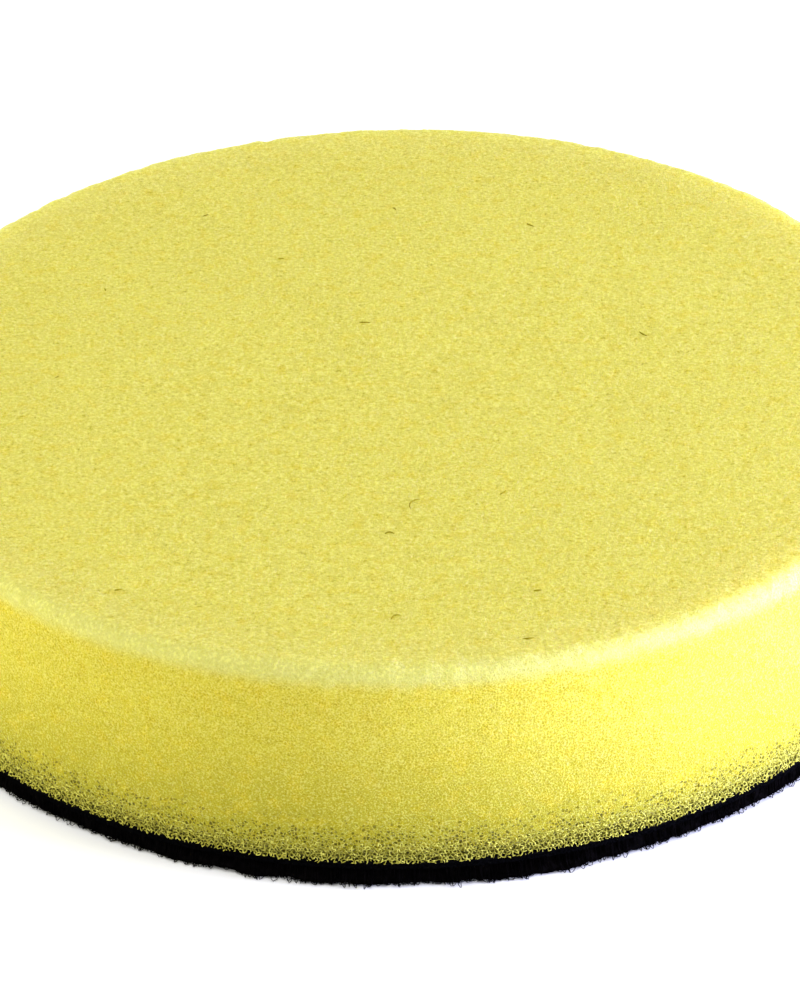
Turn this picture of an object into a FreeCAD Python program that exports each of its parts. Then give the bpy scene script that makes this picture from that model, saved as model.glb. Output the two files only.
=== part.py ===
"""Foam polishing pad for a rotary or orbital car polisher, as four bonded layers.

The pad lies as it is stored: loop pile down, flat working face up. From the bottom up it is
  loop_pile   brushed nylon loops, which a polisher's hook-faced backing plate grips
  loop_cloth  the knitted ground cloth that the loops are knitted into
  bond_film   black hot-melt film, which bonds the cloth to the foam
  foam_disc   open-cell polyurethane foam, with a flat face and an eased rim
Nothing moves. Each layer seats face to face on the one below it, on one common axis, and each
is an outline turned about that axis.

Units are millimetres. +Z points from the loop pile to the working face. The origin is on the
axis, in the plane of the pile's tips, where the pad meets the backing plate or a bench.
"""
import FreeCAD
import Part
import os

# Driving dimensions.
FOAM_DIAMETER = 150.0     # the foam's foot, where it is bonded and the pad is widest
FOAM_THICKNESS = 29.5     # from the bond to the working face
WALL_LEAN = 1.5           # how far the wall leans in, on each side, from its foot to the face
RIM_RADIUS = 2.2          # the eased rim between the wall and the working face
FILM_THICKNESS = 0.5
FILM_INSET = 0.1          # the film stops this far inside the foam's foot
CLOTH_THICKNESS = 0.8
CLOTH_INSET = 0.2         # the die trims the cloth this far inside the film's edge
PILE_HEIGHT = 2.2         # the loops, from the ground cloth to their tips
PILE_INSET = 0.1          # the outermost loops stand this far inside the cloth's edge
PILE_EDGE_RADIUS = 1.2    # the outermost loops splay, which rounds the pile's lower edge

# Radii, each from the layer that the piece is bonded to.
FOAM_FOOT_RADIUS = FOAM_DIAMETER / 2
FOAM_FACE_RADIUS = FOAM_FOOT_RADIUS - WALL_LEAN
FILM_RADIUS = FOAM_FOOT_RADIUS - FILM_INSET
CLOTH_RADIUS = FILM_RADIUS - CLOTH_INSET
PILE_RADIUS = CLOTH_RADIUS - PILE_INSET

# Heights, stacked up from the tips of the pile.
PILE_TOP = PILE_HEIGHT
CLOTH_TOP = PILE_TOP + CLOTH_THICKNESS
FILM_TOP = CLOTH_TOP + FILM_THICKNESS
FOAM_TOP = FILM_TOP + FOAM_THICKNESS

# A rounded corner uses up to this share of the shorter edge beside it.
MOST_ROUNDED = 0.8


def rounded_corner(before, corner, after, radius):
    """The arc that rounds a corner: where it starts, its middle and where it ends."""
    back, ahead = before - corner, after - corner
    room = min(back.Length, ahead.Length) * MOST_ROUNDED
    back.normalize()
    ahead.normalize()
    # The arc's centre is on the line that halves the corner, and its middle is on that line
    # too, one radius nearer to the corner. Each end is a tangent point, reach from the corner.
    inward = back + ahead
    half_cosine = inward.Length / 2
    half_sine = (1 - half_cosine ** 2) ** 0.5
    inward.normalize()
    reach = min(radius * half_cosine / half_sine, room)
    fitted = reach * half_sine / half_cosine
    middle = corner + inward * (fitted / half_sine - fitted)
    return corner + back * reach, middle, corner + ahead * reach


def turned(corners):
    """A solid of revolution about Z. Each corner is (radius, height, rounding), in order round
    the outline, which starts and ends on the axis."""
    points = [FreeCAD.Vector(radius, 0, height) for radius, height, _ in corners]
    edges = []
    last = points[0]
    for before, point, after, corner in zip(points, points[1:], points[2:], corners[1:]):
        if corner[2] > 0:
            start, middle, end = rounded_corner(before, point, after, corner[2])
            edges.append(Part.makeLine(last, start))
            edges.append(Part.Arc(start, middle, end).toShape())
            last = end
        else:
            edges.append(Part.makeLine(last, point))
            last = point
    edges.append(Part.makeLine(last, points[-1]))
    edges.append(Part.makeLine(points[-1], points[0]))
    half = Part.Face(Part.Wire(edges))
    return half.revolve(FreeCAD.Vector(0, 0, 0), FreeCAD.Vector(0, 0, 1), 360)


def layer(radius, bottom, top):
    """A plain round layer with square edges."""
    return turned([(0, bottom, 0), (radius, bottom, 0), (radius, top, 0), (0, top, 0)])


def make_foam_disc():
    """The foam: a disc whose wall leans in to the working face, with an eased rim."""
    return turned([
        (0, FILM_TOP, 0),
        (FOAM_FOOT_RADIUS, FILM_TOP, 0),
        (FOAM_FACE_RADIUS, FOAM_TOP, RIM_RADIUS),
        (0, FOAM_TOP, 0),
    ])


def make_bond_film():
    """The hot-melt film, flat between the cloth and the foam."""
    return layer(FILM_RADIUS, CLOTH_TOP, FILM_TOP)


def make_loop_cloth():
    """The knitted ground cloth under the film."""
    return layer(CLOTH_RADIUS, PILE_TOP, CLOTH_TOP)


def make_loop_pile():
    """The space that the loops fill, which rests on a bench or on the plate's hooks."""
    return turned([
        (0, 0, 0),
        (PILE_RADIUS, 0, PILE_EDGE_RADIUS),
        (PILE_RADIUS, PILE_TOP, 0),
        (0, PILE_TOP, 0),
    ])


PIECES = {
    "foam_disc": make_foam_disc,
    "bond_film": make_bond_film,
    "loop_cloth": make_loop_cloth,
    "loop_pile": make_loop_pile,
}


def main():
    os.makedirs("parts", exist_ok=True)
    for name, make in PIECES.items():
        shape = make()
        shape.exportStep(f"parts/{name}.step")
        box = shape.optimalBoundingBox()
        print(
            f"{name}: {len(shape.Solids)} solid, valid {shape.isValid()}, "
            f"{shape.Volume / 1000:.1f} cm3, {box.XLength:.1f} mm across, "
            f"from z {box.ZMin:.2f} to {box.ZMax:.2f}"
        )


main()
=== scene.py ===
# %% [markdown]
# # A foam polishing pad
#
# The pad is four layers bonded on one axis. From the top down they are a thick disc of
# open-cell foam, a film of hot-melt glue, a knitted ground cloth and the brushed nylon loops
# that grip a polisher's backing plate.
#
# The CAD model gives each layer its place and size as a plain solid. This lesson replaces each
# solid with a surface that looks like the real layer. Every surface is worked out with numpy,
# as a whole array of points at once.

# %% Load the frame
import math

import bpy
import numpy as np
from mathutils import Matrix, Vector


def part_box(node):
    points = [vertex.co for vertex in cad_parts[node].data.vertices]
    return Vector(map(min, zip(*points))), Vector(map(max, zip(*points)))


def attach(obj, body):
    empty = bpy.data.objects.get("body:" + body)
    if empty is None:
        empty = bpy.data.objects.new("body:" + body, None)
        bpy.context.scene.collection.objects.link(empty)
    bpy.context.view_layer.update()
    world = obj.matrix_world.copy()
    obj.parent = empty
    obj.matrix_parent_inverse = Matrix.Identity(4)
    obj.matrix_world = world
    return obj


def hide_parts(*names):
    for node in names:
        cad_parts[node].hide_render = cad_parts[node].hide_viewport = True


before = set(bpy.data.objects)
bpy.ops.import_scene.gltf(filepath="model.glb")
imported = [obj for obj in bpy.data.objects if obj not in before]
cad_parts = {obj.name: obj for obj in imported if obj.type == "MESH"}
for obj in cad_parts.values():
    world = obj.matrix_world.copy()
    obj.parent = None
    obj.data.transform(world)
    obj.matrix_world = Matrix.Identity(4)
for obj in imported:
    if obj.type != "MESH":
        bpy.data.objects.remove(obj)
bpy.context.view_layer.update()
MM = 0.001

foam_low, foam_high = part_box("foam_disc")
film_low, film_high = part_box("bond_film")
cloth_low, cloth_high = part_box("loop_cloth")
pile_low, pile_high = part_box("loop_pile")
print("the pad is", round(foam_high.x * 2 / MM, 1), "mm across and",
      round(foam_high.z / MM, 1), "mm tall")

# %% [markdown]
# ## From arrays to a mesh
#
# A mesh is a list of points and a list of faces that name their corners. Blender takes both as
# flat arrays, through foreach_set, which is hundreds of times quicker than adding them one by
# one. Each block of faces here has one number of corners, so quads and triangles are two
# blocks. The map called OFBake lays the faces out flat, for whoever paints them later.


# %% One maker for every piece
def new_piece(name, points, blocks, maps):
    """A mesh object from points (n, 3). Each block is an array (faces, corners) of point
    numbers, and its map is an array (faces, corners, 2) of places from 0 to 1."""
    mesh = bpy.data.meshes.new(name)
    mesh.vertices.add(len(points))
    mesh.vertices.foreach_set("co", np.asarray(points, np.float32).ravel())
    corners = np.concatenate([block.ravel() for block in blocks])
    counts = np.concatenate([np.full(len(block), block.shape[1]) for block in blocks])
    mesh.loops.add(len(corners))
    mesh.loops.foreach_set("vertex_index", corners.astype(np.int32))
    mesh.polygons.add(len(counts))
    starts = np.cumsum(counts) - counts
    mesh.polygons.foreach_set("loop_start", starts.astype(np.int32))
    mesh.polygons.foreach_set("use_smooth", np.ones(len(counts), bool))
    flat = mesh.uv_layers.new(name="OFBake")
    places = np.concatenate([part.reshape(-1, 2) for part in maps])
    flat.uv.foreach_set("vector", places.astype(np.float32).ravel())
    mesh.update()
    if mesh.validate():
        print(name, "had faults, which are mended")
    piece = bpy.data.objects.new(name, mesh)
    bpy.context.scene.collection.objects.link(piece)
    mesh.calc_loop_triangles()
    print(name, "has", len(mesh.loop_triangles), "triangles")
    return piece


# %% [markdown]
# ## Steady randomness
#
# Foam, glue and brushed yarn are uneven, and the unevenness has to be the same on each run. A
# generator with a seed gives random numbers in order. Noise that belongs to a place needs
# another way: a whole-number cell is scrambled into a number by multiplying and mixing its
# bits, so the same cell always gives the same number.

# %% Noise in space
SEED = 41


def scrambled(cells, seed):
    """One number from 0 to 1 for each whole-number cell (n, 3). The coordinates are multiplied
    by large odd numbers and mixed with exclusive-or, and the bits are stirred twice."""
    whole = cells.astype(np.int64).astype(np.uint32)
    bits = whole[:, 0] * np.uint32(73856093)
    bits ^= whole[:, 1] * np.uint32(19349663)
    bits ^= whole[:, 2] * np.uint32(83492791)
    bits ^= np.uint32(seed * 2654435 + 97)
    for _ in range(2):
        bits ^= bits >> np.uint32(15)
        bits *= np.uint32(2246822519)
        bits ^= bits >> np.uint32(13)
    return bits / 4294967295.0


def noise(points, size, seed):
    """Smooth noise from -1 to 1 whose bumps are about size across: the eight corners of a
    point's cell each have a number, and they are blended by 3t^2 - 2t^3 along each axis."""
    scaled = points / size
    cell = np.floor(scaled)
    part = scaled - cell
    part = part * part * (3 - 2 * part)
    total = np.zeros(len(points))
    for corner in np.ndindex(2, 2, 2):
        weight = np.prod(np.where(corner, part, 1 - part), axis=1)
        total += weight * scrambled(cell + corner, seed)
    return total * 2 - 1


def nearest_seed(points, size, seed):
    """Distance to the nearest seed, in units of size. Space is cut into cubes with one seed
    at a random place in each, and a point looks in its own cube and the 26 around it."""
    scaled = points / size
    cell = np.floor(scaled)
    best = np.full(len(points), 9.0)
    for step in np.ndindex(3, 3, 3):
        near = cell + step - 1
        spot = near + np.stack([scrambled(near, seed + axis) for axis in range(3)], axis=1)
        best = np.minimum(best, ((spot - scaled) ** 2).sum(axis=1))
    return np.sqrt(best)


def eased(value, low, high):
    """0 at low and 1 at high, with a smooth start and end."""
    t = np.clip((value - low) / (high - low), 0, 1)
    return t * t * (3 - 2 * t)


print("noise at three places:", noise(np.array([[0, 0, 0], [1, 0, 0], [2, 5, 1.0]]), 3, SEED))

# %% [markdown]
# ## Round faces without a pole
#
# Rings and spokes are the obvious grid for a disc, but they crowd into needles at the centre
# and make a texture look combed. A square grid pressed into a disc keeps every cell the same
# size. The outermost points are evenly spaced round the edge, so a wall of rings joins them
# one to one.


# %% A disc, and bands that join it
def pressed_disc(steps):
    """Places (steps + 1, steps + 1, 2) in a disc of radius 1. On the square, the longer of
    the two coordinates becomes the radius, and the shorter over it, times 45 degrees, the
    angle from that axis."""
    line = np.linspace(-1, 1, steps + 1)
    a, b = np.meshgrid(line, line, indexing="ij")
    beside = np.abs(a) >= np.abs(b)
    radius = np.where(beside, a, b)
    other = np.where(beside, b, a)
    angle = np.pi / 4 * other / np.where(radius == 0, 1, radius)
    far, near = radius * np.cos(angle), radius * np.sin(angle)
    return np.stack([np.where(beside, far, near), np.where(beside, near, far)], axis=-1)


def disc_edge(steps):
    """Point numbers round the edge of a pressed disc, from -45 degrees, anticlockwise."""
    ids = np.arange((steps + 1) ** 2).reshape(steps + 1, steps + 1)
    return np.concatenate([ids[-1, :-1], ids[:0:-1, -1], ids[0, :0:-1], ids[:-1, 0]])


def disc_faces(steps):
    """The quads of a pressed disc, facing up."""
    ids = np.arange((steps + 1) ** 2).reshape(steps + 1, steps + 1)
    corners = [ids[:-1, :-1], ids[1:, :-1], ids[1:, 1:], ids[:-1, 1:]]
    return np.stack(corners, axis=-1).reshape(-1, 4)


def band_faces(ids):
    """Quads between rows of point numbers that each close on themselves. Down the rows and
    then on along a row is the order that faces them outward."""
    on = np.roll(ids, -1, axis=1)
    return np.stack([ids[:-1], ids[1:], on[1:], on[:-1]], axis=-1).reshape(-1, 4)


def ring_angles(columns):
    """The angles of the columns that join the edge of a pressed disc."""
    return -np.pi / 4 + 2 * np.pi * np.arange(columns) / columns


def turned(radii, heights, columns):
    """Points (rows, columns, 3): each row is a ring of one radius and height."""
    angle = ring_angles(columns)
    x = radii[:, None] * np.cos(angle)
    y = radii[:, None] * np.sin(angle)
    return np.stack([x, y, np.broadcast_to(heights[:, None], x.shape)], axis=-1)


print("a pressed disc of 4 steps has", len(disc_edge(4)), "points round its edge")

# %% [markdown]
# ## The map of a round layer
#
# The map keeps one scale on the whole piece, so that a painted texture is as sharp on the wall
# as on the face. The face is a disc in one corner of the map. The wall is one long strip, too
# long for the map, so it is cut in four. Two quarters lie above the face and two beside it.

# %% Lay a round layer out flat
MAP_FACE = 0.66       # the face's width on the map
MAP_MARGIN = 0.01


def face_map(places):
    """Places on the map for the face, from places in a disc of radius 1."""
    return MAP_MARGIN + MAP_FACE * (0.5 + 0.5 * places)


def wall_map(rows, columns, length, face_width):
    """Corners (faces, 4, 2) on the map for a wall of rings. length is how far along the
    wall's outline each row is. A quarter turn is one strip, at the same scale as the face."""
    scale = MAP_FACE / face_width
    turn = np.arange(columns + 1) / columns * 4
    quarter = np.minimum(np.arange(columns) * 4 // columns, 3)
    down = length * scale
    strip = down[-1] + MAP_MARGIN
    across = np.pi / 2 * face_width / 2 * scale
    corners = []
    for row, column in ((0, 0), (1, 0), (1, 1), (0, 1)):
        along = (turn[column:column + columns] - quarter) * across
        depth = down[row:row + rows - 1, None] + np.zeros(columns)
        side = MAP_FACE + 2 * MAP_MARGIN + depth + (quarter % 2) * strip
        run = MAP_MARGIN + along + np.zeros((rows - 1, 1))
        lying = quarter < 2
        corners.append(np.stack([np.where(lying, run, side), np.where(lying, side, run)], -1))
    return np.stack(corners, axis=2).reshape(-1, 4, 2)


def fan_map(columns, middle, size):
    """Corners (columns, 3, 2) for a fan of triangles, in a small disc of the map."""
    angle = 2 * np.pi * np.arange(columns + 1) / columns
    edge = middle + size * np.stack([np.cos(angle), np.sin(angle)], axis=-1)
    return np.stack([np.full((columns, 2), middle), edge[1:], edge[:-1]], axis=1)


print("the face takes", round(MAP_FACE ** 2 * 100), "% of its map")

# %% [markdown]
# ## The foam disc
#
# Polyurethane foam is a heap of open cells, and a cut through it is a field of tiny pits
# between struts. The cells are under half a millimetre, so each one can't have its own
# geometry on a pad this wide. The points are about 0.3 mm apart instead, and each is pushed
# along its normal: a slow unevenness from cutting soft foam, shallow pits, and a grain. The
# rim is a thin edge that tears a little as it is cut, so it is rougher.
#
# Near the foot the wall steps inward. The open cells that show there are pieces of their own.

# %% The foam's outline
WALL_LEAN = 1.5 * MM        # the wall leans in this far by the face
RIM_RADIUS = 2.2 * MM
FOAM_STEP = 0.3 * MM        # between points
FOAM_GRID = 400             # steps across the pressed disc
FOOT_RECESS = 0.60 * MM     # how far the solid part stands back at the foot
RECESS_TALL = 2.3 * MM

foot_radius, foot_z = foam_high.x, foam_low.z
face_z = foam_high.z
corner_radius = foot_radius - WALL_LEAN


def rim_points(step):
    """Radius and height along the rim: an arc that touches the face and the leaning wall."""
    lean = math.atan2(WALL_LEAN, face_z - foot_z)
    sweep = math.pi / 2 - lean
    inset = RIM_RADIUS * math.tan(sweep / 2)
    centre_r = corner_radius - inset
    count = math.ceil(RIM_RADIUS * sweep / step)
    angle = np.linspace(math.pi / 2, math.pi / 2 - sweep, count + 1)
    radius = centre_r + RIM_RADIUS * np.cos(angle)
    height = face_z - RIM_RADIUS + RIM_RADIUS * np.sin(angle)
    return radius, height


def foam_outline(step):
    """Radius and height from the edge of the flat face, over the rim and down the wall. Near
    the foot the radius loses the recess, eased in over its height."""
    rim_r, rim_z = rim_points(step)
    count = math.ceil((rim_z[-1] - foot_z) / step)
    wall_z = np.linspace(rim_z[-1], foot_z, count + 1)[1:]
    wall_r = foot_radius - WALL_LEAN * (wall_z - foot_z) / (face_z - foot_z)
    wall_r -= FOOT_RECESS * eased(wall_z, foot_z + RECESS_TALL, foot_z + 0.4 * MM)
    return np.concatenate([rim_r, wall_r]), np.concatenate([rim_z, wall_z])


foam_r, foam_z = foam_outline(FOAM_STEP)
print("the flat face is", round(foam_r[0] * 2 / MM, 1), "mm across, in an outline of",
      len(foam_r), "rows")


# %% Push the points about
def foam_relief(points, rng):
    """How far each point moves along its normal, in metres: slow noise of two sizes, less a
    pit round each seed, and a random grain. On the rim a finer noise is added. Each amount is
    in millimetres until the last line."""
    slow = 0.11 * noise(points, 24 * MM, SEED) + 0.05 * noise(points, 6 * MM, SEED + 1)
    pits = np.clip(0.62 - nearest_seed(points, 1.3 * MM, SEED + 2), 0, 1)
    grain = rng.normal(0, 1, len(points))
    radius = np.linalg.norm(points[:, :2], axis=1)
    rim = eased(radius, corner_radius - 4 * MM, corner_radius - 1 * MM)
    rim = rim * eased(points[:, 2], face_z - 5 * MM, face_z - 2 * MM)
    torn = 0.17 * noise(points, 1.7 * MM, SEED + 3) * rim
    return (slow + torn - 0.14 * pits + 0.020 * grain) * MM


def make_foam_body():
    """The foam as one closed skin: the pressed disc, the rings down the wall and a fan
    underneath, where the glue hides it."""
    columns = 4 * FOAM_GRID
    rng = np.random.default_rng(SEED)
    disc = pressed_disc(FOAM_GRID)
    disc[1:-1, 1:-1] += rng.uniform(-0.35, 0.35, disc[1:-1, 1:-1].shape) * 2 / FOAM_GRID
    face = np.concatenate([disc * foam_r[0], np.full(disc.shape[:2] + (1,), face_z)], axis=-1)
    rings = turned(foam_r[1:], foam_z[1:], columns)
    slope_r, slope_z = np.gradient(foam_r)[1:], np.gradient(foam_z)[1:]
    steep = np.hypot(slope_r, slope_z)
    outward = turned(-slope_z / steep, slope_r / steep, columns)
    middle = np.array([[0, 0, foot_z]])
    points = np.concatenate([face.reshape(-1, 3), rings.reshape(-1, 3), middle])
    normals = np.zeros_like(points)
    normals[:, 2] = 1
    normals[disc.shape[0] ** 2:-1] = outward.reshape(-1, 3)
    relief = foam_relief(points, rng)
    relief[-columns - 1:] = 0
    points = points + normals * relief[:, None]

    first = (FOAM_GRID + 1) ** 2
    rows = np.arange(first, first + rings.shape[0] * columns).reshape(-1, columns)
    rows = np.concatenate([disc_edge(FOAM_GRID)[None], rows])
    last = rows[-1]
    fan = np.stack([np.full(columns, len(points) - 1), np.roll(last, -1), last], axis=1)
    blocks = [disc_faces(FOAM_GRID), band_faces(rows), fan]
    length = np.concatenate([[0], np.cumsum(np.hypot(np.diff(foam_r), np.diff(foam_z)))])
    maps = [
        face_map(disc.reshape(-1, 2)[blocks[0]]),
        wall_map(len(rows), columns, length, 2 * foam_r[0]),
        fan_map(columns, 0.84, 0.14),
    ]
    return new_piece("foam_body", points, blocks, maps)


foam_body = make_foam_body()
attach(foam_body, "root")
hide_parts("foam_disc")

# %% [markdown]
# ## Thin tubes by the thousand
#
# The struts of cut cells, the loops of the pile and stray fibres are all thin tubes. One
# function carries a small ring of points along every line at once. A ring of three points is
# enough for a strut thinner than a hair, and keeps thousands of them light.


# %% Tubes along lines
def tube_points(lines, thickness, sides, across):
    """Points (tubes, rows, sides, 3). At each point of a line, a ring stands square to the
    line's direction d: across less its part along d is one axis, and d x that the other."""
    along = np.gradient(lines, axis=1)
    along /= np.linalg.norm(along, axis=-1, keepdims=True)
    first = across - (across * along).sum(-1, keepdims=True) * along
    first /= np.linalg.norm(first, axis=-1, keepdims=True)
    second = np.cross(along, first)
    turn = 2 * np.pi * np.arange(sides) / sides
    ring = first[:, :, None] * np.cos(turn)[:, None] + second[:, :, None] * np.sin(turn)[:, None]
    return lines[:, :, None] + thickness[:, :, None, None] / 2 * ring


def tube_faces(tubes, rows, sides):
    """The quads round every tube, and a flat cap on each end."""
    ids = np.arange(tubes * rows * sides).reshape(tubes, rows, sides)
    on = np.roll(ids, -1, axis=2)
    corners = [ids[:, :-1], on[:, :-1], on[:, 1:], ids[:, 1:]]
    round_it = np.stack(corners, axis=-1).reshape(-1, 4)
    caps = np.concatenate([ids[:, 0, ::-1], ids[:, -1]])
    return [round_it, caps]


def tube_maps(tubes, rows, sides):
    """Each tube has its own small box of the map, unrolled in it, with its caps at its side."""
    wide = math.ceil(math.sqrt(tubes))
    box = np.stack([np.arange(tubes) % wide, np.arange(tubes) // wide], axis=-1)
    row, side = np.meshgrid(np.arange(rows - 1), np.arange(sides), indexing="ij")
    spots = []
    for down, on in ((0, 0), (0, 1), (1, 1), (1, 0)):
        spot = np.stack([(row + down) / (rows - 1) * 0.7, (side + on) / sides * 0.9], axis=-1)
        spots.append(spot)
    unrolled = np.stack(spots, axis=2)[None] + box[:, None, None, None]
    turn = 2 * np.pi * np.arange(sides) / sides
    cap = 0.08 * np.stack([np.cos(turn), np.sin(turn)], axis=-1)
    caps = [box[:, None] + cap + np.array([0.84, up]) for up in (0.2, 0.6)]
    return [unrolled.reshape(-1, 4, 2) / wide, np.concatenate(caps) / wide]


def new_tubes(name, lines, thickness, sides, across):
    """A piece made of many tubes. thickness is (tubes, rows)."""
    points = tube_points(lines, thickness, sides, across)
    tubes, rows = lines.shape[:2]
    blocks = tube_faces(tubes, rows, sides)
    return new_piece(name, points.reshape(-1, 3), blocks, tube_maps(tubes, rows, sides))


print("a tube of 2 rows and 3 sides has", sum(len(b) for b in tube_faces(1, 2, 3)), "faces")

# %% [markdown]
# ## The open cells at the foot
#
# Just above the glue no light comes back through the foam, so its cells show as black holes in
# a net of pale struts. The net could be painted on, but its ragged lower edge is an outline,
# and needs real struts. A honeycomb is wrapped round the foot, and its corners are moved about
# until it looks like foam. A second, deeper net shows through the holes of the first.

# %% Two nets of struts
CELL_PITCH = 0.48 * MM
NET_TALL = 3.4 * MM


def honeycomb(columns, rows):
    """Corners (rows, 2 * columns, 2), as steps round and up, and the struts between them, as
    pairs of corner numbers. Each row is a zigzag, and every other corner has a strut up."""
    row, spot = np.meshgrid(np.arange(rows), np.arange(2 * columns), indexing="ij")
    raised = (row + spot) % 2 == 0
    corners = np.stack([spot / 2, 0.866 * row + np.where(raised, 0.144, -0.144)], axis=-1)
    ids = row * 2 * columns + spot
    zigzag = np.stack([ids, np.roll(ids, -1, axis=1)], axis=-1).reshape(-1, 2)
    risers = np.stack([ids[:-1][raised[:-1]], ids[1:][raised[:-1]]], axis=-1)
    return corners.reshape(-1, 2), np.concatenate([zigzag, risers])


def make_net(name, depth, tall, missing, seed):
    """A jittered honeycomb round the foot, depth inside the wall's outline."""
    rng = np.random.default_rng(seed)
    radius = foot_radius - depth
    columns = round(2 * math.pi * radius / CELL_PITCH)
    rows = round(tall / CELL_PITCH / 0.866)
    corners, struts = honeycomb(columns, rows)
    corners = corners + rng.uniform(-0.37, 0.37, corners.shape)
    angle = corners[:, 0] / columns * 2 * math.pi
    height = foot_z + corners[:, 1] * CELL_PITCH
    lean = WALL_LEAN * (height - foot_z) / (face_z - foot_z)
    distance = radius - lean + rng.normal(0, 0.12, len(angle)) * MM
    spots = np.stack([distance * np.cos(angle), distance * np.sin(angle), height], axis=-1)
    lowest = (struts < 2 * columns).all(axis=1)
    struts = struts[rng.random(len(struts)) > missing + 0.45 * lowest]
    lines = spots[struts]
    across = lines.mean(axis=1, keepdims=True) * np.array([1, 1, 0])
    girth = rng.uniform(0.08, 0.26, len(corners)) * MM
    return new_tubes(name, lines, girth[struts], 3, across)


nets = [
    make_net("foam_cut_cells", 0.06 * MM, NET_TALL, 0.09, SEED + 5),
    make_net("foam_cut_cells_behind", 0.36 * MM, NET_TALL * 0.55, 0.15, SEED + 6),
]
for net in nets:
    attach(net, "root")
    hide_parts("foam_disc")

# %% [markdown]
# ## The glue film
#
# Hot-melt glue is pressed flat between two rough layers, so its edge is a row of small beads
# and it climbs a little way into the open cells. Its outline is turned like the others, and
# the upper edge rises and falls with noise.

# %% The film
FILM_COLUMNS = 1600
FILM_RISE = 0.45 * MM     # how far the glue climbs into the cells


def make_film():
    """Rings from the underside's edge, round a beaded lip and in over the top, with a fan to
    close each side."""
    edge, low, high = film_high.x, film_low.z, film_high.z
    radii = edge + np.array([-2.0, -0.25, -0.05, 0.0, -0.04, -0.12, -0.35, -0.8, -3.0]) * MM
    heights = np.array([low, low, low + 0.15 * MM, (low + high) / 2, high, high, high, high, high])
    climb = np.array([0, 0, 0, 0.3, 0.75, 1.0, 1.0, 0.5, 0])
    swell = np.array([0, 0.3, 0.8, 1.0, 1.0, 0.8, 0.3, 0, 0])
    points = turned(radii[::-1], heights[::-1], FILM_COLUMNS)
    climb, swell = climb[::-1, None], swell[::-1, None]
    flat = points.reshape(-1, 3)
    level = (flat * np.array([1, 1, 0.3]))
    rise = noise(level, 2.1 * MM, SEED + 7) * 0.6 + noise(level, 0.7 * MM, SEED + 8) * 0.5 + 0.3
    bead = noise(level, 1.3 * MM, SEED + 9).reshape(points.shape[:2]) * 0.12 * MM
    points[..., 2] += climb * FILM_RISE * np.clip(rise, 0, 1).reshape(points.shape[:2])
    out = points[..., :2] / np.linalg.norm(points[..., :2], axis=-1, keepdims=True)
    points[..., :2] += out * (bead * swell)[..., None]
    ids = np.arange(points[..., 0].size).reshape(-1, FILM_COLUMNS)
    ends = np.array([[0, 0, high], [0, 0, low]])
    top = np.stack([np.full(FILM_COLUMNS, ids.size), ids[0], np.roll(ids[0], -1)], axis=1)
    under = np.stack([np.full(FILM_COLUMNS, ids.size + 1), np.roll(ids[-1], -1), ids[-1]], axis=1)
    length = np.concatenate([[0], np.cumsum(np.hypot(np.diff(radii), np.diff(heights)))])
    maps = [
        wall_map(len(ids), FILM_COLUMNS, length, 2 * edge),
        fan_map(FILM_COLUMNS, 0.25, 0.2),
        fan_map(FILM_COLUMNS, 0.84, 0.14),
    ]
    every = np.concatenate([points.reshape(-1, 3), ends])
    return new_piece("glue_film", every, [band_faces(ids), top, under], maps)


glue_film = make_film()
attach(glue_film, "root")
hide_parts("bond_film")

# %% [markdown]
# ## The ground cloth
#
# The loops stand on a knitted cloth, bonded flat under the glue. It is a sheet, die-cut to a
# circle, with ribs along the knit. It was never draped, so there is nothing for a cloth
# simulation to do: the ribs and the frayed edge are worked out directly.

# %% The cloth
CLOTH_GRID = 200
RIB_PITCH = 1.6 * MM
RIB_DEEP = 0.07 * MM


def make_under_layer(name, low, high, grid, relief, fray, shift=None):
    """A round layer that is seen from below. Its underside is a pressed disc whose points rise
    by relief(points). Its edge is rings that move in and out by fray, and a fan closes its
    top. low and high are opposite corners of its box. shift moves the points once more."""
    columns = 4 * grid
    disc = pressed_disc(grid)
    under = disc.reshape(-1, 2) * (high.x - 0.1 * MM)
    face = np.concatenate([under, np.full((len(under), 1), low.z)], axis=1)
    face[:, 2] += relief(face)
    heights = np.linspace(low.z + 0.12 * MM, high.z, 6)
    rings = turned(np.full(6, high.x), heights, columns)
    moved = noise(rings.reshape(-1, 3), 0.9 * MM, SEED + 11).reshape(rings.shape[:2]) * fray
    out = rings[..., :2] / np.linalg.norm(rings[..., :2], axis=-1, keepdims=True)
    rings[..., :2] += out * moved[..., None]
    points = np.concatenate([face, rings.reshape(-1, 3), [[0, 0, high.z]]])
    if shift:
        points = shift(points)
    rows = np.arange(len(face), len(points) - 1).reshape(6, columns)
    rows = np.concatenate([disc_edge(grid)[None], rows])
    fan = np.stack([np.full(columns, len(points) - 1), rows[-1], np.roll(rows[-1], -1)], axis=1)
    blocks = [disc_faces(grid)[:, ::-1], band_faces(rows)[:, ::-1], fan]
    maps = [
        face_map(disc.reshape(-1, 2)[blocks[0]]),
        wall_map(7, columns, np.linspace(0, high.z - low.z, 7), 2 * high.x)[:, ::-1],
        fan_map(columns, 0.84, 0.14),
    ]
    return new_piece(name, points, blocks, maps)


def ribs(points):
    """The ribs of the knit: 1 less the absolute sine across them."""
    return (1 - np.abs(np.sin(np.pi * points[:, 0] / RIB_PITCH))) * RIB_DEEP


knit_ground = make_under_layer("knit_ground", cloth_low, cloth_high, CLOTH_GRID, ribs, 0.08 * MM)
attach(knit_ground, "root")
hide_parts("loop_cloth")

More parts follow.
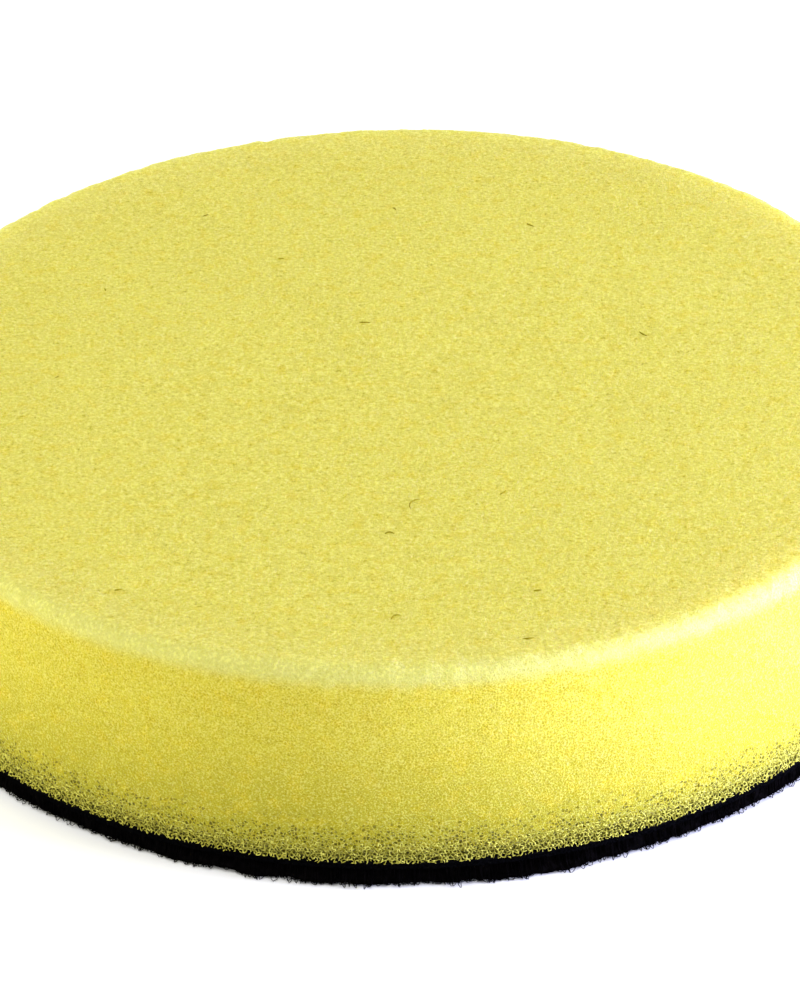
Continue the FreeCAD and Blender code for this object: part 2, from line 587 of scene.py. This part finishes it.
# %% [markdown]
# ## The loop pile
#
# The backing plate's hooks catch in loops of fine nylon, brushed until they lean every way.
# Near the cloth they mat into a felt, and only the longest stand clear. The felt is a rough
# layer of its own, and hangs lower along its edge, where loops fold over.
#
# Each loop is an arch hung from the cloth. Its feet are on a pressed grid, moved at random, so
# that they cover the disc evenly. A crown of loops along the edge leans outward. A pad is set
# down on one side first, and there the edge of felt and loops spreads the most.

# %% The matted root of the pile
SPLAY = 1.15 * MM           # how far the pile's edge spreads where the pad was set down
SPLAY_ELSEWHERE = 0.25      # the share of it that the rest of the edge has
SPLAY_AT = math.radians(-93)
SPLAY_HALF = math.radians(31)
SPLAY_NONE = 1.9 * MM       # no spread above this height
SPLAY_FULL = 0.4 * MM       # the whole spread below this one


def splay(points):
    """How far each point moves outward: SPLAY times a share for the angle from SPLAY_AT, eased
    by its cosine, times a ragged noise of two sizes, and times two more shares, which grow
    toward the edge and toward the floor."""
    across = np.cos(np.arctan2(points[:, 1], points[:, 0]) - SPLAY_AT)
    side = eased(across, math.cos(SPLAY_HALF), math.cos(SPLAY_HALF * 0.5))
    radius = np.linalg.norm(points[:, :2], axis=1)
    near = eased(radius, pile_high.x - 3 * MM, pile_high.x - 0.8 * MM)
    ragged = 0.75 + 0.5 * noise(points, 3.4 * MM, SEED + 16)
    ragged = ragged + 0.35 * noise(points, 1.1 * MM, SEED + 17)
    share = SPLAY_ELSEWHERE + (1 - SPLAY_ELSEWHERE) * side
    return SPLAY * share * ragged * near * eased(points[:, 2], SPLAY_NONE, SPLAY_FULL)


def spread(points, amount):
    """Points moved outward from the axis by an amount each."""
    out = points[:, :2] / np.maximum(np.linalg.norm(points[:, :2], axis=1), MM)[:, None]
    moved = points.copy()
    moved[:, :2] += out * amount[:, None]
    return moved


FELT_GRID = 240
FELT_OVER = 0.75 * MM       # the felt's underside is this far above the loops' tips
FELT_INSET = 0.25 * MM
FELT_HEM = 0.45             # millimetres that the felt's edge hangs lower


def tangle(points):
    """Lumps of two sizes, up and down, and a lower hem round the edge, where loops fold over."""
    lumps = noise(points, 2.2 * MM, SEED + 14) * 0.16 + noise(points, 0.8 * MM, SEED + 15) * 0.22
    radius = np.linalg.norm(points[:, :2], axis=1)
    folded = eased(radius, felt_high.x - 2.4 * MM, felt_high.x - 0.5 * MM)
    return (lumps * (1 - folded * 0.4) - FELT_HEM * folded) * MM


felt_low, felt_high = pile_low.copy(), pile_high.copy()
felt_low.z += FELT_OVER
felt_high.x -= FELT_INSET
pile_felt = make_under_layer("pile_felt", felt_low, felt_high, FELT_GRID, tangle, 0.35 * MM,
                             lambda points: spread(points, splay(points)))
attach(pile_felt, "root")
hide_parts("loop_pile")

# %% Loops
LOOP_ROWS = 8
LOOP_GRID = 104
LOOP_THICK = 0.12 * MM
EDGE_LOOPS = 5200
LOOPS_A_PIECE = 4400


def arches(feet, yaw, span, drop, lean):
    """Lines (loops, rows, 3). Along an arch, t runs from 0 to 1: it goes sideways by span
    times t less a half, bulging by a full sine, down by drop times the root of sin(pi t), and
    leans by sin(pi t) squared."""
    t = np.linspace(0, 1, LOOP_ROWS)
    hang = np.sin(np.pi * t)
    side = span[:, None] * (t - 0.5 - 0.16 * np.sin(2 * np.pi * t))
    way = np.stack([np.cos(yaw), np.sin(yaw)], axis=-1)
    flat = feet[:, None] + way[:, None] * side[..., None] + lean[:, None] * (hang ** 2)[:, None]
    down = cloth_low.z + 0.1 * MM - drop[:, None] * hang ** 0.6
    return np.concatenate([flat, down[..., None]], axis=-1)


def all_loops():
    """The lines of every loop, and the direction square to each loop's own plane."""
    rng = np.random.default_rng(SEED + 20)
    reach = pile_high.x - 0.35 * MM
    grid = pressed_disc(LOOP_GRID).reshape(-1, 2)
    feet = grid * reach + rng.normal(0, 0.28, grid.shape) * MM
    feet = feet[np.linalg.norm(feet, axis=1) < reach]
    around = rng.uniform(0, 2 * np.pi, EDGE_LOOPS)
    edge = np.stack([np.cos(around), np.sin(around)], axis=-1)
    feet = np.concatenate([feet, edge * (reach - rng.uniform(-0.1, 0.6, (EDGE_LOOPS, 1)) * MM)])
    count = len(feet)
    yaw = rng.uniform(0, np.pi, count)
    span = rng.uniform(0.6, 1.5, count) * MM
    drop = np.minimum(rng.normal(1.9, 0.25, count), 2.15) * MM
    lean = rng.normal(0, 0.45, (count, 2)) * MM
    outward = edge * rng.uniform(-0.1, 0.5, (EDGE_LOOPS, 1)) * MM
    lean[-EDGE_LOOPS:] = lean[-EDGE_LOOPS:] * 0.6 + outward
    lines = arches(feet, yaw, span, drop, lean)
    every = lines.reshape(-1, 3)
    lines = spread(every, splay(every)).reshape(lines.shape)
    square = np.stack([-np.sin(yaw), np.cos(yaw), 0 * yaw], axis=-1)
    return lines, square[:, None]


def make_pile():
    """The loops in as many pieces as keep each one light, each a sector of the pad."""
    lines, square = all_loops()
    sector = np.argsort(np.arctan2(lines[:, 0, 1], lines[:, 0, 0]))
    pieces = []
    for part in np.array_split(sector, math.ceil(len(lines) / LOOPS_A_PIECE)):
        thick = np.full((len(part), LOOP_ROWS), LOOP_THICK)
        name = f"pile_loops_{len(pieces)}"
        pieces.append(new_tubes(name, lines[part], thick, 3, square[part]))
    return pieces


pile = make_pile()
for sector in pile:
    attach(sector, "root")
    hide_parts("loop_pile")

# %% [markdown]
# ## Stray fibres
#
# A pad that has been handled has a few dark fibres caught in its face. They are short and
# curved, and small enough to be missed, but their absence makes a surface look computed.

# %% Fibres on the face
FIBRE_THICK = 0.23 * MM
# Right and away from the camera, length, turn and bend, in millimetres and degrees.
FIBRES = [
    (-4.5, 15.5, 1.9, -5, 60), (34.5, 11, 1.8, -50, 70), (19.5, 42.5, 1.5, -40, 60),
    (-16.5, 34, 1.0, 10, 60), (1.5, -32.5, 3.2, 60, -110), (14, -30.5, 1.7, 50, 50),
    (18, -55, 1.2, 10, 70), (-1, -60.5, 1.8, 40, -80), (-27.5, 47, 1.1, 30, 60),
    (-41.5, 26, 1.1, 100, 60), (-37.5, -53, 1.3, 15, 55), (-47.5, 2, 1.2, 45, 80),
    (0, 48, 1.0, 120, 60), (16.5, -66.5, 1.5, 8, 70), (-1.5, -40, 1.3, 0, -60),
]


def make_fibres():
    """Each fibre is an arc of its own length and bend, turned about its middle. Its ends dip
    into the cells."""
    place = np.array(FIBRES, float)
    t = np.linspace(-0.5, 0.5, 9)
    bend = np.radians(place[:, 4])[:, None]
    size = place[:, 2:3] * MM / bend
    x, y = size * np.sin(bend * t), size * (1 - np.cos(bend * t))
    turn = np.radians(place[:, 3])[:, None]
    along = x * np.cos(turn) - y * np.sin(turn) + place[:, 0:1] * MM
    away = x * np.sin(turn) + y * np.cos(turn) + place[:, 1:2] * MM
    up = face_z + (0.10 - 0.6 * t ** 2) * MM + 0 * x
    lines = np.stack([along, away, up], axis=-1)
    thick = np.broadcast_to(FIBRE_THICK * (1 - 2.4 * t ** 2), x.shape)
    return new_tubes("stray_fibres", lines, thick, 6, np.array([[[0, 0, 1.0]]]))


stray_fibres = make_fibres()
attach(stray_fibres, "root")

# %% [markdown]
# ## Materials written as sums
#
# A material is a network of nodes. Drawn by hand it soon turns into knots, and in code it is
# easier to read as arithmetic. The class Value wraps a node's output, and adding or
# multiplying two values adds the Math node that does it.


# %% Arithmetic on sockets
class Value:
    """One output of a node, which can be used in sums."""

    def __init__(self, finish, socket):
        self.finish = finish
        self.socket = socket

    def math(self, operation, *terms):
        return self.finish.node("ShaderNodeMath", {"operation": operation}, *terms)

    def __add__(self, other):
        return self.math("ADD", self, other)

    def __sub__(self, other):
        return self.math("SUBTRACT", self, other)

    def __rsub__(self, other):
        return self.math("SUBTRACT", other, self)

    def __mul__(self, other):
        return self.math("MULTIPLY", self, other)

    def __pow__(self, other):
        return self.math("POWER", self, other)

    __radd__ = __add__
    __rmul__ = __mul__


class Finish:
    """One material: its nodes, and the few kinds of step that the finishes here use."""

    def __init__(self, name):
        self.material = bpy.data.materials.new(name)
        self.material.use_nodes = True
        self.tree = self.material.node_tree
        self.tree.nodes.clear()

    def node(self, kind, settings, *inputs, output=0, **named):
        """Adds a node, makes its settings, then fills its sockets by order or by name."""
        made = self.tree.nodes.new(kind)
        for setting, choice in settings.items():
            setattr(made, setting, choice)
        filled = list(enumerate(inputs)) + list(named.items())
        for key, value in filled:
            if value is None:
                continue
            socket = made.inputs[key if isinstance(key, int) else key.replace("_", " ")]
            if isinstance(value, Value):
                self.tree.links.new(value.socket, socket)
            else:
                socket.default_value = value
        return Value(self, made.outputs[output])

    def place(self):
        """Object coordinates, in millimetres."""
        spot = self.node("ShaderNodeTexCoord", {}, output="Object")
        return self.node("ShaderNodeVectorMath", {"operation": "SCALE"}, spot, Scale=1 / MM)

    def parts(self, vector):
        """The three numbers of a vector."""
        split = self.node("ShaderNodeSeparateXYZ", {}, vector)
        return [Value(self, out) for out in split.socket.node.outputs]

    def ease(self, value, low, high):
        """0 at low and 1 at high, smoothly, and held beyond them."""
        settings = {"interpolation_type": "SMOOTHSTEP", "clamp": True}
        return self.node("ShaderNodeMapRange", settings, value, low, high, 0.0, 1.0)

    def noise(self, vector, size, detail=2.0):
        """Noise about 0.5 whose bumps are about size millimetres."""
        return self.node("ShaderNodeTexNoise", {}, Vector=vector, Scale=1 / size, Detail=detail)

    def cells(self, vector, size, feature, output="Distance"):
        """Distance to the nearest seed, or to the wall between cells, in cells. The output
        "Color" is a random colour for each cell instead."""
        settings = {"feature": feature}
        return self.node("ShaderNodeTexVoronoi", settings, Vector=vector, Scale=1 / size,
                         output=output)

    def blend(self, factor, first, second):
        """A colour between two colours."""
        settings = {"data_type": "RGBA"}
        mixed = self.node("ShaderNodeMix", settings)
        made = mixed.socket.node
        for key, value in ((0, factor), (6, first), (7, second)):
            if isinstance(value, Value):
                self.tree.links.new(value.socket, made.inputs[key])
            else:
                made.inputs[key].default_value = value
        return Value(self, made.outputs[2])

    def bump(self, height, distance):
        """A normal that leans as if the surface had this height, in metres at 1."""
        return self.node("ShaderNodeBump", {}, Height=height, Distance=distance, Strength=1.0)

    def surface(self, constants, **varying):
        """The Principled shader, wired to the output. Constants are set on its sockets."""
        shader = self.tree.nodes.new("ShaderNodeBsdfPrincipled")
        for name, number in constants.items():
            shader.inputs[name].default_value = number
        for name, value in varying.items():
            self.tree.links.new(value.socket, shader.inputs[name.replace("_", " ")])
        output = self.tree.nodes.new("ShaderNodeOutputMaterial")
        self.tree.links.new(shader.outputs[0], output.inputs["Surface"])
        print(self.material.name, "has", len(self.tree.nodes), "nodes")
        return self.material


# %% [markdown]
# ## The look of the foam
#
# Foam is a net of struts, so its colour is two colours: the struts, and painted shade in the
# pores between them. On the face the pores are shallow and nearly as bright as the struts.
# Some struts have painted glints, some pores are olive dots of painted shade, and broad patches
# are a warmer gold. The wall is painted a darker yellow than the face, as painted shade, and
# down the wall the pores deepen. Near the foot, where the black glue takes the light, painted
# shade darkens the foam, and more and more cells are open holes, painted dark. The rim is
# painted paler, a painted highlight for the light that comes through its thin edge.

# %% Foam
FACE_YELLOW = (0.654, 0.594, 0.105, 1)
# The wall is the face's foam, painted darker and deeper: painted shade.
WALL_YELLOW_SHADED = (0.608, 0.536, 0.061, 1)
# Painted shade towards the foot.
FOOT_SHADE_OLIVE = (0.355, 0.325, 0.022, 1)
# A painted highlight on the rim.
RIM_HIGHLIGHT = (0.560, 0.548, 0.170, 1)
# Painted shade in the pores. Cloud noise also blends towards it, as a random tone.
PORE_SHADE_BROWN = (0.35, 0.295, 0.010, 1)
WARM_GOLD = (0.66, 0.510, 0.028, 1)
# Painted glints: highlights on struts.
GLINT_HIGHLIGHT = (0.84, 0.82, 0.24, 1)
# Painted shade inside the open cells near the foot.
HOLE_SHADE = (0.070, 0.058, 0.002, 1)
# Painted shade in deep pores.
DOT_SHADE_OLIVE = (0.330, 0.290, 0.012, 1)
CELL = 0.43               # millimetres across one cell
HOLE = 0.47               # across an open cell near the foot
# Over LOW_TALL, painted shade darkens the foam towards the foot.
LOW_TALL = 22.0           # the foam darkens over this height above the foot
# Over HEM_TALL, open cells are painted dark: painted shade.
HEM_TALL = 11.0           # and cells are open over this one
# Over these widths the rim is painted paler: a painted highlight.
RIM_WIDE = 12.0           # the face pales over this width, a little
RIM_NARROW = 3.0          # and the rim itself over this one

foot_mm, face_mm = foot_z / MM, face_z / MM
corner_mm = corner_radius / MM


def foam_zones(foam, place):
    """Four numbers from 0 to 1, which say how far a point is on the wall, low on the wall, in
    the hem of open cells, and on the rim."""
    x, y, z = foam.parts(place)
    radius = (x * x + y * y) ** 0.5
    wall = foam.ease(z, face_mm - 0.3, face_mm - 3.4)
    low = foam.ease(z, foot_mm + LOW_TALL, foot_mm)
    hem = foam.ease(z, foot_mm + HEM_TALL, foot_mm)
    edge = foam.ease(radius, corner_mm - RIM_WIDE, corner_mm - 2.0) * 0.3
    edge = edge + foam.ease(radius, corner_mm - RIM_NARROW, corner_mm - 0.4) * 0.7
    rim = edge * foam.ease(z, face_mm - 4.0, face_mm - 1.1)
    return wall, low, hem, rim


def foam_finish():
    """A net of struts over pores painted darker as shade, no two cells alike."""
    foam = Finish("yellow_foam")
    place = foam.place()
    wall, low, hem, rim = foam_zones(foam, place)

    strut = foam.cells(place, CELL, "DISTANCE_TO_EDGE")
    pore = foam.ease(strut, 0.02, 0.18)
    chance = foam.parts(foam.cells(place, HOLE, "F1", "Color"))[0]
    hole = foam.ease(foam.cells(place, HOLE, "DISTANCE_TO_EDGE"), 0.08, 0.22)
    hole = hole * foam.ease(hem * 1.30 - chance, 0.0, 0.70)
    fine = foam.noise(place, 0.26, 1.0)
    speck = foam.noise(place, 0.48, 2.0)
    patch = foam.noise(place, 1.1, 2.0)
    cloud = foam.noise(place, 3.2, 3.0)
    drift = foam.noise(place, 18.0, 1.0)
    grain = speck * (1 - wall) + fine * wall
    # Where the grain is high, a painted highlight, which also raises the bump.
    painted_glint = foam.ease(grain, 0.50, 0.66)
    shaded_dot = foam.ease(grain, 0.40, 0.29) * foam.ease(patch, 0.40, 0.60)
    uneven = foam.ease(patch, 0.3, 0.7)

    warm = foam.ease(foam.noise(place, 2.2, 3.0), 0.46, 0.70) * (1 - rim)
    # The wall is painted a darker yellow than the face, as painted shade.
    clean = foam.blend(wall, FACE_YELLOW, WALL_YELLOW_SHADED)
    # The rim is painted paler, a painted highlight.
    clean = foam.blend(rim, clean, RIM_HIGHLIGHT)
    # Painted shade darkens the foam towards the foot.
    clean = foam.blend(low * 0.9, clean, FOOT_SHADE_OLIVE)
    clean = foam.blend(warm * 0.45, clean, WARM_GOLD)
    # The pores are painted darker, more so down the wall and towards the foot: painted shade.
    depth = pore * (0.26 + wall * 0.16 + low * 0.14) * (0.6 + uneven * 0.6)
    shade = (cloud - 0.5) * 0.10 + (drift - 0.5) * 0.12 + (0.5 - grain) * 0.8
    colour = foam.blend(depth * (1 - rim * 0.4) + shade, clean, PORE_SHADE_BROWN)
    # Painted glints: pale highlights on struts.
    colour = foam.blend(painted_glint * (0.34 - wall * 0.02), colour, GLINT_HIGHLIGHT)
    # Olive dots in deep pores: painted shade.
    colour = foam.blend(shaded_dot * (0.6 - rim * 0.4), colour, DOT_SHADE_OLIVE)
    # The open holes near the foot are painted dark, darker lower down: painted shade.
    colour = foam.blend(hole * (0.45 + hem * 0.55), colour, HOLE_SHADE)
    relief = foam.bump(grain * 0.5 + painted_glint * 0.5 - pore - hole * 0.8, 0.00008)
    constants = {
        "Roughness": 0.7,
        "Specular IOR Level": 0.04,
        "Subsurface Weight": 0.55,
        "Subsurface Radius": (1.0, 0.8, 0.06),
        "Subsurface Scale": 0.015,
        "Sheen Weight": 0.07,
        "Sheen Roughness": 0.35,
    }
    return foam.surface(constants, Base_Color=colour, Normal=relief)


foam_body.data.materials.append(foam_finish())


# %% [markdown]
# ## The struts at the foot
#
# The struts stand in the light, so they are painted paler than the foam behind them, as painted
# light. The net behind is painted darker, as painted shade.

# %% Struts
def strut_finish(name, bright, shaded):
    """Pale olive struts, each stretch a little different, with painted shade that darkens them
    towards the glue.
    """
    strut = Finish(name)
    place = strut.place()
    z = strut.parts(place)[2]
    patch = strut.ease(strut.noise(place, 0.55, 1.0), 0.36, 0.60)
    low = strut.ease(z, foot_mm + 4.0, foot_mm)
    # bright and shaded are painted lit and shaded tones of one strut. Noise picks between them for
    # each stretch, and painted shade darkens them towards the glue.
    colour = strut.blend(patch * 0.70 + low * 0.25, bright, shaded)
    constants = {"Roughness": 0.7, "Specular IOR Level": 0.15}
    return strut.surface(constants, Base_Color=colour)


nets[0].data.materials.append(
    strut_finish("cut_struts", (0.74, 0.71, 0.135, 1), (0.36, 0.33, 0.036, 1)))
# The net behind is painted darker than the front one: painted shade.
nets[1].data.materials.append(
    strut_finish("shaded_struts_behind", (0.24, 0.22, 0.034, 1), (0.07, 0.065, 0.010, 1)))


# %% [markdown]
# ## The black layers
#
# Glue, cloth and loops are all black, and only their surfaces tell them apart. The glue is
# smooth and beaded and the cloth is a dull knit. The nylon loops are charcoal, and along the
# edge they are painted nearly black, as painted shade.

# %% Glue, knit, nylon and fibres
def black_finish(name, dark, light, size, deep, constants):
    """Black with a slightly lighter grain of the given size, which also stands up."""
    black = Finish(name)
    place = black.place()
    grain = black.ease(black.noise(place, size, 3.0), 0.3, 0.7)
    colour = black.blend(grain, dark, light)
    return black.surface(constants, Base_Color=colour, Normal=black.bump(grain, deep))


def nylon_finish():
    """Loops painted black at the edge as shade, turning to charcoal over a few millimetres in."""
    nylon = Finish("black_nylon")
    place = nylon.place()
    x, y = nylon.parts(place)[:2]
    radius = (x * x + y * y) ** 0.5
    grain = nylon.ease(nylon.noise(place, 0.9, 3.0), 0.3, 0.7)
    edge_mm = pile_high.x / MM
    # Along the edge the loops are painted near-black: painted shade. Further in they are charcoal.
    away_from_edge = nylon.ease(radius, edge_mm - 1.5, edge_mm - 5.0)
    edge_shade = nylon.blend(grain, (0.0004, 0.0003, 0.0003, 1), (0.0020, 0.0015, 0.0017, 1))
    charcoal = nylon.blend(grain, (0.022, 0.021, 0.024, 1), (0.055, 0.052, 0.060, 1))
    colour = nylon.blend(away_from_edge, edge_shade, charcoal)
    return nylon.surface({"Roughness": 0.8, "Specular IOR Level": 0.01}, Base_Color=colour)


glue = black_finish("black_glue", (0.0005, 0.0005, 0.0006, 1), (0.002, 0.002, 0.0024, 1), 0.5,
                    0.00005, {"Roughness": 0.7, "Specular IOR Level": 0.01})
knit = black_finish("black_knit", (0.0005, 0.0005, 0.0006, 1), (0.002, 0.002, 0.0024, 1), 0.35,
                    0.00008, {"Roughness": 0.9, "Specular IOR Level": 0.0})
felt = black_finish("matted_nylon", (0.0004, 0.0003, 0.0003, 1), (0.0020, 0.0015, 0.0017, 1), 0.9,
                    0.00001, {"Roughness": 0.8, "Specular IOR Level": 0.01})
lint = black_finish("dark_lint", (0.20, 0.165, 0.010, 1), (0.32, 0.27, 0.020, 1), 0.3,
                    0.00001, {"Roughness": 0.8, "Specular IOR Level": 0.05})
glue_film.data.materials.append(glue)
knit_ground.data.materials.append(knit)
pile_felt.data.materials.append(felt)
nylon = nylon_finish()
for part in pile:
    part.data.materials.append(nylon)
stray_fibres.data.materials.append(lint)


# %% [markdown]
# ## The floor
#
# A plain pale sheet, wide enough to reach the horizon of any view.

# %% Floor
FLOOR_HALF = 6.0


def make_floor():
    """A flat square just under the loops."""
    square = np.array([[-1, -1, 0], [1, -1, 0], [1, 1, 0], [-1, 1, 0]]) * FLOOR_HALF
    quad = np.array([[0, 1, 2, 3]])
    return new_piece("floor", square, [quad], [np.array([[[0, 0], [1, 0], [1, 1], [0, 1]]])])


def floor_finish():
    """Pale paper: nearly white, with a faint mottle."""
    paper = Finish("pale_paper")
    mottle = paper.noise(paper.place(), 60.0, 2.0)
    colour = paper.blend(mottle, (0.92, 0.92, 0.92, 1), (0.95, 0.95, 0.95, 1))
    return paper.surface({"Roughness": 0.9, "Specular IOR Level": 0.1}, Base_Color=colour)


floor = make_floor()
floor.data.materials.append(floor_finish())

# %% [markdown]
# ## Camera and light
#
# A long lens from nearly a metre away flattens the perspective, as in a catalogue picture. The
# camera leans by a degree, as one held by hand does. The light is a white room with a wide soft
# lamp overhead. Low cards on both sides and behind light the wall, the right one strongest.

# %% Camera
VIEW_DISTANCE = 0.900
VIEW_UP = 31.0              # degrees above the face
AIM_LOWER = 1.075           # degrees below the face's centre
ROLL = -1.03                # degrees that the camera is turned about its own axis
LENS = 232.5


def make_camera():
    """The camera looks along +Y and down at the face's centre, then a little lower."""
    data = bpy.data.cameras.new("camera")
    data.lens = LENS
    data.clip_start, data.clip_end = 0.01, 50
    camera = bpy.data.objects.new("camera", data)
    bpy.context.scene.collection.objects.link(camera)
    up = math.radians(VIEW_UP)
    camera.location = (0, -VIEW_DISTANCE * math.cos(up), face_z + VIEW_DISTANCE * math.sin(up))
    look = Matrix.Rotation(math.pi / 2 - up - math.radians(AIM_LOWER), 3, "X")
    camera.rotation_euler = (look @ Matrix.Rotation(math.radians(ROLL), 3, "Z")).to_euler()
    return camera


bpy.context.scene.camera = make_camera()
print("the camera is at", [round(v, 3) for v in bpy.context.scene.camera.location])


# %% Lights
DAYLIGHT = (0.91, 0.95, 1.55)     # cooler than the room, so that it makes a yellow paler
LAMPLIGHT = (1.0, 0.95, 0.60)     # warmer, so that it makes a yellow deeper
ROOM_LIGHT = 0.85


def soft_lamp(name, around, spot, size, power, tint=(1, 1, 1)):
    """A rectangular lamp that faces the pad's middle. around is degrees to the right of the
    camera, spot is how far out and how high it is, and size its width and height."""
    data = bpy.data.lights.new(name, "AREA")
    data.color = tint
    data.shape, data.energy = "RECTANGLE", power
    data.size, data.size_y = size
    lamp = bpy.data.objects.new(name, data)
    bpy.context.scene.collection.objects.link(lamp)
    out, high = spot
    turn = math.radians(around)
    lamp.location = (out * math.sin(turn), -out * math.cos(turn), high)
    lamp.rotation_euler = (math.pi / 2 - math.atan2(high - face_z / 2, out), 0, turn)
    lamp.visible_camera = False
    return lamp


soft_lamp("side_card", 74, (0.33, 0.049), (0.22, 0.080), 2.5, DAYLIGHT)
soft_lamp("left_card", -80, (0.35, 0.040), (0.22, 0.055), 0.6, LAMPLIGHT)
soft_lamp("back_card", 180, (0.40, 0.065), (0.36, 0.060), 0.25)
soft_lamp("top_lamp", -20, (0.28, 1.58), (1.2, 1.2), 12.0)

room = bpy.data.worlds.new("white_room")
room.use_nodes = True
room.node_tree.nodes["Background"].inputs["Color"].default_value = (1, 1, 1, 1)
room.node_tree.nodes["Background"].inputs["Strength"].default_value = ROOM_LIGHT
bpy.context.scene.world = room
bpy.context.scene.view_settings.view_transform = "Standard"
